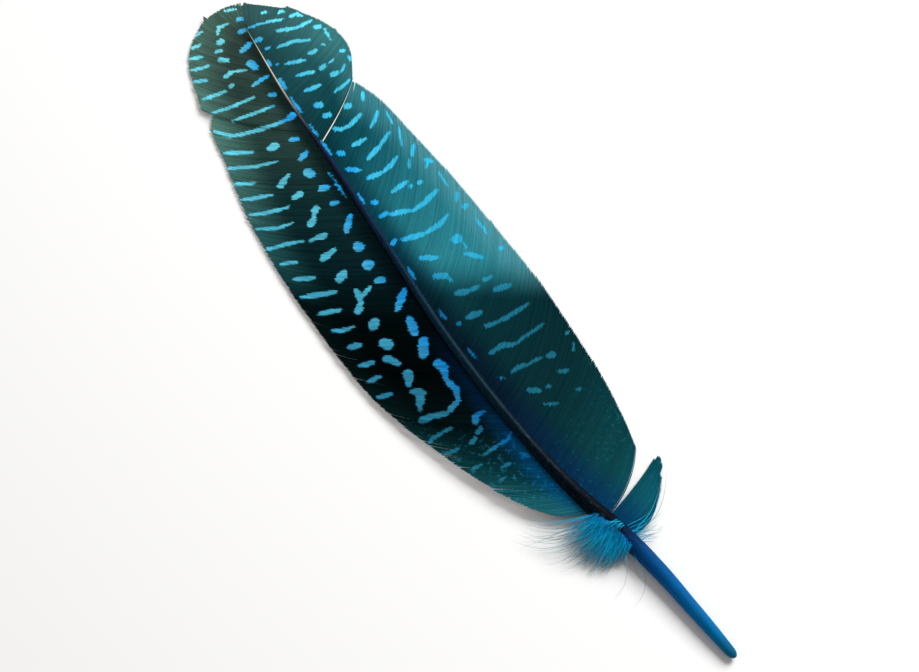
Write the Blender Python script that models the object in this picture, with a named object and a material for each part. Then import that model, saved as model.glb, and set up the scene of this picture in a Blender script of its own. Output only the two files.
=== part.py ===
"""A guinea fowl wing feather, 185 mm long, lying with its rounded side up.

It grew as one piece, so it is one solid: the quill and the shaft are a tapering tube, and the two vanes, the
loose lock at the foot of the right vane and the downy locks by the quill grow out of the tube's sides. X runs
from the quill to the tip, +Y is the side of the spotted vane, and Z is up from the surface that it lies on.
"""

from math import cos, radians, sin

import bmesh
import bpy
import numpy as np

# The sizes below are in millimetres, from the quill's end along X and from the feather's axis along Y
MM = 0.001

# Shaft: how far it bows to the left, half its width, and its underside's height, at stations along X
SHAFT_TIP = 176.0
QUILL_LIFTS = 24.0
BOW = ((0, 0.2), (12, 1.0), (23, 1.7), (30, 3.0), (37, 5.2), (48, 6.8), (64, 8.1), (85, 8.5), (110, 6.8),
       (134, 4.8), (155, 3.2), (176, 0.2), (187, -1.4))
HALF_WIDTH = ((2, 1.05), (6, 1.25), (15, 1.5), (28, 1.8), (37, 1.7), (42, 1.5), (55, 1.25), (79, 0.95),
              (115, 0.7), (143, 0.45), (176, 0.28))
UNDERSIDE = ((QUILL_LIFTS, 0), (36, 0.9), (50, 3.0), (70, 5.3), (95, 6.9), (115, 6.9), (135, 6.1),
             (155, 4.6), (176, 2.1), (187, 0.5))
DEPTH_TO_WIDTH = 1.08
QUILL_END_ROUNDING = 2.0
SEAT_ANGLE = radians(15)
SHOULDER_ANGLES = (radians(50), radians(90), radians(130))
BELLY_ANGLES = (radians(222), radians(270) - SEAT_ANGLE, radians(270) + SEAT_ANGLE, radians(318))

# Vanes: a barb runs from its root on the shaft to its end on the vane's edge: root station, end X, end Y
LEFT_VANE = ((40, 46.0, 16.2), (47, 56.5, 18.8), (55, 68.5, 22.8), (65, 83.0, 26.6), (76, 95.0, 27.6),
             (90, 109.5, 27.6), (105, 124.5, 26.8), (120, 138.5, 24.9), (133, 150.5, 22.0),
             (144, 161.8, 18.6))
LEFT_LOBE = ((144, 163.2, 18.8), (150, 169.5, 17.7), (157, 176.0, 15.5), (164, 181.0, 11.6),
             (170, 184.2, 6.4), (176, 185.0, 0.9))
RIGHT_LOCK = ((31.2, 33.0, -1.4), (33.4, 34.9, -6.6), (35.6, 37.8, -9.8), (37.8, 40.7, -11.9),
              (40, 42.8, -12.9))
RIGHT_VANE = ((40, 46.4, -10.6), (46, 54.0, -12.7), (52, 63.0, -14.4), (60, 75.0, -15.7), (70, 88.5, -16.7),
              (82, 104.0, -16.6), (95, 119.0, -16.3), (108, 132.5, -15.4), (120, 142.5, -14.7),
              (130, 147.6, -13.7), (140, 151.0, -12.2))
RIGHT_LOBE = ((140, 151.7, -11.7), (144, 155.6, -14.0), (149, 159.2, -15.5), (155, 163.5, -15.9),
              (161, 168.8, -14.6), (166, 173.5, -12.4), (170, 177.3, -9.6), (173.5, 181.2, -5.6),
              (176, 184.6, -0.6))

# Down: locks at the foot of the vanes, as root station, tip X, tip Y
LEFT_DOWN = ((29, 20.0, 9.2), (31.2, 24.5, 11.8), (33.4, 29.6, 13.2), (35.6, 34.4, 16.0),
             (37.8, 38.6, 18.9), (40, 43.2, 20.2))
RIGHT_DOWN = ((29, 27.6, -4.6), (31.2, 30.6, -6.4))
LOCK_TIP_WIDTH = 0.35
LOCK_LENGTHS = (1.0, 0.86, 1.08, 0.92)

# Curve of the barbs: how many degrees they bend towards the tip on the way out, by root station
BEND = ((29, -14), (34, -8), (40, 6), (60, 11), (100, 13), (128, 9), (144, 6), (176, 4))

# Roof of the vanes: how far from the shaft each comes down to the surface, by station
LEFT_REACH = ((20, 13), (40, 15), (60, 18), (84, 20.5), (130, 21.5), (160, 17.5), (175, 16), (186, 12))
RIGHT_REACH = ((20, 12), (40, 15), (60, 22), (85, 25.5), (120, 22.5), (145, 19), (165, 18.5), (186, 12))
ROOF_ROUNDNESS = 1.4
ROOF_LANDING = 1.3
EDGE_HEIGHT = 0.2

# The tip lobe of the right vane has split from the vane below it and lies higher along the split
LOBE_SPLIT = 140.0
LOBE_LIFT = 1.1
LOBE_SETTLES = 14.0
DOWN_LIFT = 1.4
LIFT_RISE = 0.7

VANE_THICKNESS = 0.5
EDGE_THICKNESS = 0.24
ROOT_THICKNESS = 0.3
SIDE_SHARE = 0.97
ATTACH_SHARE = 0.35
BARB_STEPS = 7

# Ring stations along the tube: the rounded quill end, the bare quill, the down, the vanes and the tip lobe
QUILL_STATIONS = (0.12, 0.6, 1.3, 2, 6, 12, 18, QUILL_LIFTS, 27)
DOWN_STATIONS = np.linspace(29, 40, 11)
VANE_STATIONS = np.linspace(40, 140, 34)[1:]
LOBE_STATIONS = np.linspace(140, 176, 19)[1:]
STATIONS = (*QUILL_STATIONS, *DOWN_STATIONS, *VANE_STATIONS, *LOBE_STATIONS)

SHARP_ANGLE = radians(36)

DYED_KERATIN = (0.012, 0.085, 0.11, 1.0)
KERATIN_ROUGHNESS = 0.45


def smooth(points, at, column=1):
    """The value at one station of the smooth curve through a table's points."""
    stations = np.array([point[0] for point in points], float)
    values = np.array([point[column] for point in points], float)
    slopes = np.gradient(values, stations)
    k = int(np.clip(np.searchsorted(stations, at) - 1, 0, len(stations) - 2))
    step = stations[k + 1] - stations[k]
    t = float(np.clip((at - stations[k]) / step, 0, 1))
    return (
        values[k] * (1 + 2 * t) * (1 - t) ** 2
        + slopes[k] * step * t * (1 - t) ** 2
        + values[k + 1] * t**2 * (3 - 2 * t)
        + slopes[k + 1] * step * t**2 * (t - 1)
    )


def half_width(station):
    """Half the shaft's width, closing in a round end at the quill."""
    rounding = 1 - min(station / QUILL_END_ROUNDING, 1)
    return smooth(HALF_WIDTH, station) * (1 - rounding**2) ** 0.5


def shaft_height(station):
    """Height of the shaft's middle, which is also the line where the vanes grow out of it."""
    wide = half_width(np.clip(station, QUILL_END_ROUNDING, SHAFT_TIP))
    return smooth(UNDERSIDE, station) + wide * DEPTH_TO_WIDTH * cos(SEAT_ANGLE)


def vane_height(x, y, side):
    """Height of a vane's middle: a rounded roof that comes down to the surface the feather lies on."""
    reach = smooth(LEFT_REACH if side > 0 else RIGHT_REACH, x)
    out = min(abs(y - smooth(BOW, x)) / reach, 1)
    return EDGE_HEIGHT + (shaft_height(x) - EDGE_HEIGHT) * (1 - out**ROOF_ROUNDNESS) ** ROOF_LANDING


def barb(side, root, end, bend, lift):
    """Points along one barb from the shaft's side to its end, bending towards the tip, as (x, y, z)."""
    start = np.array([root, smooth(BOW, root) + side * half_width(root) * SIDE_SHARE])
    end = np.array(end)
    chord = end - start
    backward = np.array([chord[1], -chord[0]]) * -side
    middle = (start + end) / 2 + backward * np.tan(bend) / 2
    points = []
    for t in np.linspace(0, 1, BARB_STEPS + 1):
        x, y = start * (1 - t) ** 2 + middle * 2 * t * (1 - t) + end * t**2
        points.append((x, y, vane_height(x, y, side) + lift * t**LIFT_RISE))
    return points


def ring(bm, station):
    """The tube's section at a station, from the left side over the back to the right and round the belly."""
    wide = half_width(station)
    deep = wide * DEPTH_TO_WIDTH
    seat = deep * cos(SEAT_ANGLE)
    centre = shaft_height(station)
    middle = smooth(BOW, station)
    attach = min(ROOT_THICKNESS / 2, deep * ATTACH_SHARE)
    side = wide * SIDE_SHARE
    outline = [(side, attach)]
    outline += [(wide * cos(angle), deep * sin(angle)) for angle in SHOULDER_ANGLES]
    outline += [(-side, attach), (-side, -attach)]
    outline += [(wide * cos(angle), max(deep * sin(angle), -seat)) for angle in BELLY_ANGLES]
    outline += [(side, -attach)]
    return [bm.verts.new((station * MM, (middle + y) * MM, (centre + z) * MM)) for y, z in outline]


LEFT_TOP, LEFT_BOTTOM = 0, -1
RIGHT_TOP, RIGHT_BOTTOM = 4, 5


def sheet(bm, rings, side, ribs):
    """An unbroken stretch of vane: a thin sheet over its ribs, open only where it grows out of the tube."""
    top_at, bottom_at = (LEFT_TOP, LEFT_BOTTOM) if side > 0 else (RIGHT_TOP, RIGHT_BOTTOM)
    rows = []
    for index, points in ribs:
        top, bottom = [rings[index][top_at]], [rings[index][bottom_at]]
        for step, (x, y, z) in enumerate(points[1:], 1):
            out = step / BARB_STEPS
            half = (VANE_THICKNESS + (EDGE_THICKNESS - VANE_THICKNESS) * out**2) / 2
            top.append(bm.verts.new((x * MM, y * MM, (z + half) * MM)))
            bottom.append(bm.verts.new((x * MM, y * MM, (z - half) * MM)))
        rows.append((top, bottom))
    for (top, bottom), (next_top, next_bottom) in zip(rows, rows[1:]):
        for k in range(BARB_STEPS):
            bm.faces.new((top[k], top[k + 1], next_top[k + 1], next_top[k]))
            bm.faces.new((bottom[k], next_bottom[k], next_bottom[k + 1], bottom[k + 1]))
        bm.faces.new((top[-1], bottom[-1], next_bottom[-1], next_top[-1]))
    for top, bottom in (rows[0], rows[-1]):
        for k in range(BARB_STEPS):
            bm.faces.new((top[k], bottom[k], bottom[k + 1], top[k + 1]))


def vane_ribs(side, table, lift=lambda root: 0.0):
    """The ribs of a stretch of vane, one at each ring between the table's first and last roots."""
    ribs = []
    for index, station in enumerate(STATIONS):
        if table[0][0] - 0.01 <= station <= table[-1][0] + 0.01:
            end = (smooth(table, station, 1), smooth(table, station, 2))
            ribs.append((index, barb(side, station, end, radians(smooth(BEND, station)), lift(station))))
    return ribs


def lock_ribs(side, table, index):
    """The two ribs of a downy lock, which meet at its tip but for the tip's width."""
    low, high = STATIONS[index], STATIONS[index + 1]
    length = LOCK_LENGTHS[index % len(LOCK_LENGTHS)]
    lift = DOWN_LIFT * sin(index * 2.4) ** 2
    middle = (low + high) / 2
    root = np.array([middle, smooth(BOW, middle)])
    tip = root + (np.array([smooth(table, middle, 1), smooth(table, middle, 2)]) - root) * length
    bend = radians(smooth(BEND, middle))
    half = LOCK_TIP_WIDTH / 2
    return [
        (index, barb(side, low, tip - (half, 0), bend, lift)),
        (index + 1, barb(side, high, tip + (half, 0), bend, lift)),
    ]


def lobe_lift(root):
    """How far the right vane's tip lobe stands over the vane below it, most at the split."""
    return LOBE_LIFT * float(np.exp(-(root - LOBE_SPLIT) / LOBE_SETTLES))


def feather_mesh():
    bm = bmesh.new()
    rings = [ring(bm, station) for station in STATIONS]
    sheets = [
        (1, vane_ribs(1, LEFT_VANE)),
        (1, vane_ribs(1, LEFT_LOBE)),
        (-1, vane_ribs(-1, RIGHT_LOCK)),
        (-1, vane_ribs(-1, RIGHT_VANE)),
        (-1, vane_ribs(-1, RIGHT_LOBE, lobe_lift)),
    ]
    for index, station in enumerate(STATIONS):
        for side, table in ((1, LEFT_DOWN), (-1, RIGHT_DOWN)):
            if table[0][0] - 0.01 <= station < table[-1][0] - 0.01:
                sheets.append((side, lock_ribs(side, table, index)))
    covered = set()
    for side, ribs in sheets:
        sheet(bm, rings, side, ribs)
        covered.update((side, index) for index, _ in ribs[:-1])
    for index, (here, ahead) in enumerate(zip(rings, rings[1:])):
        for k in range(len(here)):
            if (k == RIGHT_TOP and (-1, index) in covered) or (k == len(here) - 1 and (1, index) in covered):
                continue
            after = (k + 1) % len(here)
            bm.faces.new((here[k], here[after], ahead[after], ahead[k]))
    bm.faces.new(rings[0])
    bm.faces.new(rings[-1])
    bmesh.ops.recalc_face_normals(bm, faces=bm.faces)
    return bm


def centred(bm):
    """Moves the feather so that the origin is under the middle of its box, on the surface it lies on."""
    corners = np.array([vert.co for vert in bm.verts])
    middle = (corners.min(axis=0) + corners.max(axis=0)) / 2
    bmesh.ops.translate(bm, verts=bm.verts, vec=(-middle[0], -middle[1], 0))


def keratin():
    """Blue-green dyed keratin."""
    material = bpy.data.materials.new("dyed_keratin")
    material.use_nodes = True
    surface = material.node_tree.nodes["Principled BSDF"]
    surface.inputs["Base Color"].default_value = DYED_KERATIN
    surface.inputs["Roughness"].default_value = KERATIN_ROUGHNESS
    surface.inputs["Metallic"].default_value = 0.0
    return material


def build():
    for old in list(bpy.context.scene.objects):
        bpy.data.objects.remove(old, do_unlink=True)
    bm = feather_mesh()
    centred(bm)
    mesh = bpy.data.meshes.new("feather")
    bm.to_mesh(mesh)
    bm.free()
    mesh.materials.append(keratin())
    mesh.shade_smooth()
    mesh.set_sharp_from_angle(angle=SHARP_ANGLE)
    feather = bpy.data.objects.new("feather", mesh)
    bpy.context.scene.collection.objects.link(feather)


build()
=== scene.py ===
"""A guinea fowl wing feather, dyed blue-green, lying with its rounded side up on a pale surface."""

from math import pi, radians

import bpy
import numpy as np
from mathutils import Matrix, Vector


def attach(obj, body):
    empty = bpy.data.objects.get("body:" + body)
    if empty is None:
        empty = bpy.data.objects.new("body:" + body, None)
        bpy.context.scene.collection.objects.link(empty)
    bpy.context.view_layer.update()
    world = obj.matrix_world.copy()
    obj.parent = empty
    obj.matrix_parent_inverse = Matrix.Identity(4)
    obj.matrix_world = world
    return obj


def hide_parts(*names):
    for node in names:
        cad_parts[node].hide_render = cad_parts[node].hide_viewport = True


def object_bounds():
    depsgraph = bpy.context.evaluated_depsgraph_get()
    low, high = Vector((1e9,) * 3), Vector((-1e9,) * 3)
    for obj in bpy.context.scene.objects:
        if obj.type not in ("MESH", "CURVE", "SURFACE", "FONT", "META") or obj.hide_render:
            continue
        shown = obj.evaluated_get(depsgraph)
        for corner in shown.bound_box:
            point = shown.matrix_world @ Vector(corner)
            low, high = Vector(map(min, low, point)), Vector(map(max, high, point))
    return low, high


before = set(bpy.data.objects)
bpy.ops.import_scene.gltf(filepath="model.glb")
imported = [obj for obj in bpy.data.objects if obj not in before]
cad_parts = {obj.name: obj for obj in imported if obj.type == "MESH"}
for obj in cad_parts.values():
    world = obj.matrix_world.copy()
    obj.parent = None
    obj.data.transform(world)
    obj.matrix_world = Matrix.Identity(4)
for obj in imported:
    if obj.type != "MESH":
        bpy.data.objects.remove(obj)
cad_low, cad_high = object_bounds()

# The quill and shaft are one tapering tube of horn, bare and round at the quill and grooved underneath
# along the vanes. The dye took deep blue there, and left the thin tip of the shaft the cream colour of
# plain horn.
MM = 0.001
FEATHER_LENGTH = 185.0
FIRST_STATION = 0.12
LEFT_RIM = 27.737

# At stations in millimetres from the quill's end: the bow to the left, half the width, the underside's
# height
BOW = ((0, 0.2), (12, 1.0), (23, 1.8), (30, 2.8), (37, 4.3), (43, 5.6), (50, 6.8), (64, 8.1), (85, 8.5),
       (110, 6.8), (134, 4.8), (155, 3.2), (176, 0.2), (187, -1.4))
HALF_WIDTH = ((2, 1.05), (6, 1.25), (15, 1.5), (28, 1.8), (37, 1.85), (42, 1.65), (55, 1.25), (79, 0.95),
              (115, 0.68), (134, 0.5), (145, 0.34), (155, 0.24), (165, 0.16), (176, 0.07))
UNDERSIDE = ((24, 0), (36, 0.9), (50, 3.0), (70, 5.3), (95, 6.9), (115, 6.9), (135, 6.1), (155, 4.6),
             (176, 2.1), (187, 0.5))
DEPTH_TO_WIDTH = 1.08
QUILL_END_ROUNDING = 2.0
SEAT_ANGLE = radians(15)
SHAFT_END = 176.5
SHAFT_SIDES = 28
GROOVE_DEPTH = 0.3
GROOVE_HALF_ANGLE = radians(30)
GROOVE_FROM, GROOVE_FULL = 34.0, 60.0
GLOSS_FROM_TO = 62.0, 34.0


def smooth(points, at, column=1):
    """Values at some stations of the smooth curve through a table's points."""
    stations, values = np.array([(point[0], point[column]) for point in points], float).T
    slopes = np.gradient(values, stations)
    k = np.clip(np.searchsorted(stations, at) - 1, 0, len(stations) - 2)
    step = stations[k + 1] - stations[k]
    t = np.clip((at - stations[k]) / step, 0, 1)
    return (
        values[k] * (1 + 2 * t) * (1 - t) ** 2
        + slopes[k] * step * t * (1 - t) ** 2
        + values[k + 1] * t**2 * (3 - 2 * t)
        + slopes[k + 1] * step * t**2 * (t - 1)
    )


def half_width(station):
    """Half the shaft's width, closing in a round end at the quill."""
    rounding = 1 - np.minimum(station / QUILL_END_ROUNDING, 1)
    return smooth(HALF_WIDTH, station) * (1 - rounding**2) ** 0.5


def shaft_height(station):
    """Height of the shaft's middle, where the vanes grow out of it."""
    wide = half_width(np.maximum(station, QUILL_END_ROUNDING))
    return smooth(UNDERSIDE, station) + wide * DEPTH_TO_WIDTH * np.cos(SEAT_ANGLE)


def placed(points):
    """Points in the feather's own millimetres as points in the frame, in metres."""
    corner = (cad_low.x - FIRST_STATION * MM, cad_high.y - LEFT_RIM * MM, 0)
    return np.asarray(points, float) * MM + corner


def finished(mesh, name):
    """The mesh as a piece of the feather in the scene, standing for the CAD solid."""
    piece = bpy.data.objects.new(name, mesh)
    bpy.context.scene.collection.objects.link(piece)
    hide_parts("feather")
    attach(piece, "root")
    return piece


def dye(red, green, blue):
    """A colour given on the screen's 0 to 255 scale, as the renderer's linear colour."""
    screen = np.array((red, green, blue)) / 255
    linear = np.where(screen <= 0.04045, screen / 12.92, ((screen + 0.055) / 1.055) ** 2.4)
    return (*linear, 1.0)


class Flow:
    """A value in a node tree. Arithmetic on it adds math nodes, so that a tree reads as plain sums."""

    def __init__(self, socket):
        self.socket = socket

    def __add__(self, other):
        return math("ADD", self, other)

    def __sub__(self, other):
        return math("SUBTRACT", self, other)

    def __rsub__(self, other):
        return math("SUBTRACT", other, self)

    def __mul__(self, other):
        return math("MULTIPLY", self, other)

    def __truediv__(self, other):
        return math("DIVIDE", self, other)

    def __pow__(self, other):
        return math("POWER", self, other)

    __radd__ = __add__
    __rmul__ = __mul__


def feed(sockets, values):
    """Links values to sockets, or sets the sockets to plain values. None leaves a socket as it is."""
    for socket, value in zip(sockets, values):
        if isinstance(value, Flow):
            socket.id_data.links.new(value.socket, socket)
        elif value is not None:
            socket.default_value = value


def node(tree, kind, *values, out=0, **settings):
    """Adds a node, feeds its sockets that are in use in their order, and gives one of its outputs."""
    made = tree.nodes.new(kind)
    for name, setting in settings.items():
        setattr(made, name, setting)
    feed([socket for socket in made.inputs if socket.enabled], values)
    return Flow([socket for socket in made.outputs if socket.enabled][out])


def vector(tree, x, y, z=0.0):
    """A vector of three values."""
    return node(tree, "ShaderNodeCombineXYZ", x, y, z)


def parts_of(value):
    """The three values of a vector."""
    made = value.socket.id_data.nodes.new("ShaderNodeSeparateXYZ")
    feed(made.inputs, (value,))
    return [Flow(output) for output in made.outputs]


def scaled(value, by):
    """A vector or colour made larger or smaller by a value."""
    return node(value.socket.id_data, "ShaderNodeVectorMath", value, by, operation="SCALE")


def math(operation, *values):
    """A math node, or a vector math node where its first value is a vector."""
    first = next(value for value in values if isinstance(value, Flow)).socket
    if first.type in ("VECTOR", "RGBA"):
        return node(first.id_data, "ShaderNodeVectorMath", *values, operation=operation)
    return node(first.id_data, "ShaderNodeMath", *values, operation=operation)


def between(value, low, high):
    """0 below one value and 1 above the other, smoothly."""
    return node(value.socket.id_data, "ShaderNodeMapRange", value, low, high, 0.0, 1.0,
                interpolation_type="SMOOTHSTEP")


def ramp(value, *stops):
    """A colour ramp over the value, from stops of (place, red, green, blue), read as dye() reads them."""
    made = value.socket.id_data.nodes.new("ShaderNodeValToRGB")
    feed(made.inputs, (value,))
    marks = made.color_ramp.elements
    for _ in stops[2:]:
        marks.new(0.5)
    for mark, (position, *colour) in zip(marks, stops):
        mark.position = position
        mark.color = dye(*colour)
    return Flow(made.outputs["Color"])


def blended(share, first, second):
    """The first colour where the share is 0 and the second where it is 1."""
    made = share.socket.id_data.nodes.new("ShaderNodeMix")
    made.data_type = "RGBA"
    feed((made.inputs[0], made.inputs[6], made.inputs[7]), (share, first, second))
    return Flow(made.outputs[2])


def noise(tree, scale, detail=2.0, **place):
    """A noise value, over a place (Vector=) or along a line (W=)."""
    made = tree.nodes.new("ShaderNodeTexNoise")
    made.noise_dimensions = "1D" if "W" in place else "3D"
    feed((made.inputs["Scale"], made.inputs["Detail"]), (scale, detail))
    feed([made.inputs[label] for label in place], place.values())
    return Flow(made.outputs["Fac"])


def new_group(name, kind, inputs, outputs):
    """A node group with its sockets made: the group, its inputs by name, and its output node."""
    group = bpy.data.node_groups.new(name, kind)
    for label, socket_kind, value in inputs:
        socket = group.interface.new_socket(label, in_out="INPUT", socket_type=socket_kind)
        if value is not None:
            socket.default_value = value
    for label, socket_kind in outputs:
        group.interface.new_socket(label, in_out="OUTPUT", socket_type=socket_kind)
    entry = group.nodes.new("NodeGroupInput")
    leave = group.nodes.new("NodeGroupOutput")
    return group, {socket.name: Flow(socket) for socket in entry.outputs if socket.name}, leave


def placed_group(tree, group, **values):
    """Places an effect's group in a material and feeds its inputs: its outputs by name."""
    made = tree.nodes.new("ShaderNodeGroup")
    made.node_tree = group
    feed([made.inputs[label] for label in values], values.values())
    return {output.name: Flow(output) for output in made.outputs}


def bumped(height, strength, distance):
    """The normals of a surface with fine relief."""
    made = height.socket.id_data.nodes.new("ShaderNodeBump")
    feed([made.inputs[label] for label in ("Strength", "Distance", "Height")], (strength, distance, height))
    return Flow(made.outputs["Normal"])


def new_material(name):
    """A new material and its node tree."""
    material = bpy.data.materials.new(name)
    material.use_nodes = True
    return material, material.node_tree


def painted(material, colour, roughness, specular, normal=None):
    """Feeds the material's shader, and gives the material."""
    surface = material.node_tree.nodes["Principled BSDF"]
    labels = ("Base Color", "Roughness", "Specular IOR Level", "Normal")
    feed([surface.inputs[label] for label in labels], (colour, roughness, specular, normal))
    return material


def horn_streaks():
    """Fine lengthwise streaks and pale flecks of horn that the dye took unevenly."""
    group, given, leave = new_group(
        "horn streaks", "ShaderNodeTree",
        (("Colour", "NodeSocketColor", None), ("Pale", "NodeSocketColor", None),
         ("Along", "NodeSocketFloat", 0.0), ("Around", "NodeSocketFloat", 0.0),
         ("Strength", "NodeSocketFloat", 0.3)),
        (("Colour", "NodeSocketColor"), ("Height", "NodeSocketFloat")),
    )
    spread = vector(group, given["Along"] * 0.12, given["Around"] * 14.0)
    streak = noise(group, 1.6, 5.0, Vector=spread)
    fleck = noise(group, 5.0, 3.0, Vector=spread)
    worn = between(fleck, 0.58, 0.75) * given["Strength"]
    shade = (streak - 0.5) * given["Strength"] * 2.6 + 1.0
    feed(leave.inputs, (blended(worn, scaled(given["Colour"], shade), given["Pale"]), streak))
    return group


def shaft_mesh():
    """Rings round the shaft's middle line, closed at both ends, with the groove pressed into the belly."""
    stations = np.concatenate([
        QUILL_END_ROUNDING * (1 - np.cos(np.linspace(0.28, pi / 2, 7))),
        np.linspace(QUILL_END_ROUNDING, SHAFT_END, 240)[1:],
    ])
    angles = np.arange(SHAFT_SIDES) * 2 * pi / SHAFT_SIDES + pi / 2
    wide = half_width(stations)[:, None]
    deep = wide * DEPTH_TO_WIDTH
    grooved = np.clip((stations - GROOVE_FROM) / (GROOVE_FULL - GROOVE_FROM), 0, 1)[:, None]
    from_belly = np.abs((angles - 3 * pi / 2 + pi) % (2 * pi) - pi)
    groove = GROOVE_DEPTH * np.clip(1 - (from_belly / GROOVE_HALF_ANGLE) ** 2, 0, 1) * grooved
    y = wide * np.cos(angles)
    z = deep * np.sin(angles) * (1 - groove)
    z = np.maximum(z, -deep * np.cos(SEAT_ANGLE))
    x = np.repeat(stations[:, None], SHAFT_SIDES, 1)
    points = np.stack([x, smooth(BOW, stations)[:, None] + y, shaft_height(stations)[:, None] + z], -1)
    faces = []
    for row in range(len(stations) - 1):
        for k in range(SHAFT_SIDES):
            after = (k + 1) % SHAFT_SIDES
            faces.append((row * SHAFT_SIDES + k, row * SHAFT_SIDES + after,
                          (row + 1) * SHAFT_SIDES + after, (row + 1) * SHAFT_SIDES + k))
    faces.append(tuple(range(SHAFT_SIDES))[::-1])
    faces.append(tuple(range((len(stations) - 1) * SHAFT_SIDES, len(stations) * SHAFT_SIDES)))
    mesh = bpy.data.meshes.new("shaft")
    mesh.from_pydata(placed(points.reshape(-1, 3)).tolist(), [], faces)
    lengthwise = mesh.uv_layers.new(name="lengthwise")
    bake = mesh.uv_layers.new(name="OFBake")
    for face in mesh.polygons:
        for k, loop in enumerate(face.loop_indices):
            row, corner = divmod(mesh.loops[loop].vertex_index, SHAFT_SIDES)
            if len(face.vertices) == 4 and k in (1, 2) and corner == 0:
                corner = SHAFT_SIDES
            lengthwise.data[loop].uv = (stations[row], corner / SHAFT_SIDES)
            bake.data[loop].uv = (stations[row] / SHAFT_END, corner / SHAFT_SIDES)
    mesh.shade_smooth()
    return mesh


def shaft_material():
    """Glossy horn: vivid blue at the quill, near black along the vanes, and cream at the tip."""
    material, tree = new_material("dyed horn")
    station, around, _ = parts_of(node(tree, "ShaderNodeUVMap", uv_map="lengthwise"))
    colour = ramp(
        station / SHAFT_END,
        (0.0, 10, 88, 116), (0.03, 0, 104, 160), (0.10, 0, 88, 150), (0.15, 0, 66, 122),
        (0.172, 0, 38, 80), (0.186, 0, 18, 48), (0.206, 0, 3, 12), (0.30, 0, 10, 20),
        (0.42, 2, 28, 40), (0.60, 6, 32, 52), (0.74, 14, 28, 58), (0.81, 26, 28, 54),
        (0.85, 84, 78, 88), (0.89, 172, 162, 150), (0.94, 212, 204, 184),
        (1.0, 150, 146, 124),
    )
    streaks = placed_group(tree, horn_streaks(), Colour=colour, Pale=dye(20, 132, 176), Along=station,
                           Around=around, Strength=0.36)
    dull_quill = between(station, *GLOSS_FROM_TO) * 0.3
    roughness = streaks["Height"] * 0.3 + 0.2 + dull_quill
    return painted(material, streaks["Colour"], roughness, 0.045, bumped(streaks["Height"], 0.25, 0.00008))


shaft = finished(shaft_mesh(), "shaft")
shaft.data.materials.append(shaft_material())

# The left vane is the broad, dark one: some 400 barbs grow out of the shaft's side and hook together in
# a thin arched sheet. Each barb carries its own bit of every mark, so the marks' edges step from barb
# to barb.
BARB_PITCH = 0.34
BARB_STEPS = 44
GUIDE_ROW_STEP = 0.8
GUIDE_COLUMNS = 28
SIDE_SHARE = 0.97
BARB_OVERHANG = 1.012
TAPERED_SHARE = 1 / 64
BLUNT_END = 0.16

# How close to a guide sheet's edges it is read, and how far apart it is probed for a barb's run and spacing
INSIDE = 0.001
PROBE_ALONG = 0.03
PROBE_ACROSS = 0.004

# A barb runs from its root on the shaft to its end on the vane's edge: root station, end X, end Y
LEFT_VANE = ((40, 43.2, 11.8), (43, 47.4, 14.8), (47, 54.4, 18.2), (51, 60.5, 20.6), (55, 67.8, 22.8),
             (65, 83.0, 26.6), (76, 95.0, 27.6), (90, 109.5, 27.6), (105, 124.5, 26.8), (120, 138.5, 24.9),
             (133, 150.5, 22.0), (140, 157.4, 20.5), (142.4, 160.8, 19.3), (143.4, 161.9, 18.4),
             (144, 162.3, 17.7))
LEFT_LOBE = ((144, 165.0, 19.1), (147, 167.2, 18.4), (150, 169.8, 17.5), (157, 176.0, 15.5),
             (164, 181.0, 11.6), (169, 183.9, 7.2), (172, 184.7, 4.2), (174.5, 184.4, 0.6),
             (176.3, 183.3, -2.8))
# Small splits: root station, how wide it opens, where on the barbs it starts, how far it spreads, and how
# far the barbs on its near side stand out past the others
LEFT_SPLITS = ((47.5, 0.3, 0.6, 3.0, 0.2), (61.0, 0.15, 0.75, 2.0, 0.3), (74.0, 0.1, 0.8, 1.5, 0.3),
               (97.0, 0.1, 0.85, 1.5, 0.25), (118.0, 0.12, 0.8, 2.0, 0.3), (131.5, 0.12, 0.8, 2.0, 0.2),
               (141.5, 0.1, 0.85, 0.8, 0.5), (152.0, 0.12, 0.85, 1.5, 0.4), (170.9, 0.14, 0.8, 0.6, 1.7))

# How many degrees the barbs bend towards the tip on the way out, by root station
BEND = ((37.3, 16), (41, 8), (60, 11), (100, 13), (128, 9), (144, 6), (176, 4))
LOBE_BEND = ((144, 10), (150, 8), (158, 5), (176, 4))

# How far from the shaft each vane comes down to the surface, by station
LEFT_REACH = ((20, 13), (40, 15), (60, 18), (84, 20.5), (130, 21.5), (160, 17.5), (175, 16), (186, 12))
RIGHT_REACH = ((20, 12), (40, 15), (60, 22), (85, 25.5), (120, 22.5), (145, 19), (165, 18.5), (186, 12))
ROOF_ROUNDNESS = 1.4
ROOF_LANDING = 1.3
EDGE_HEIGHT = 0.3
LIFT_RISE = 0.7

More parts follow.
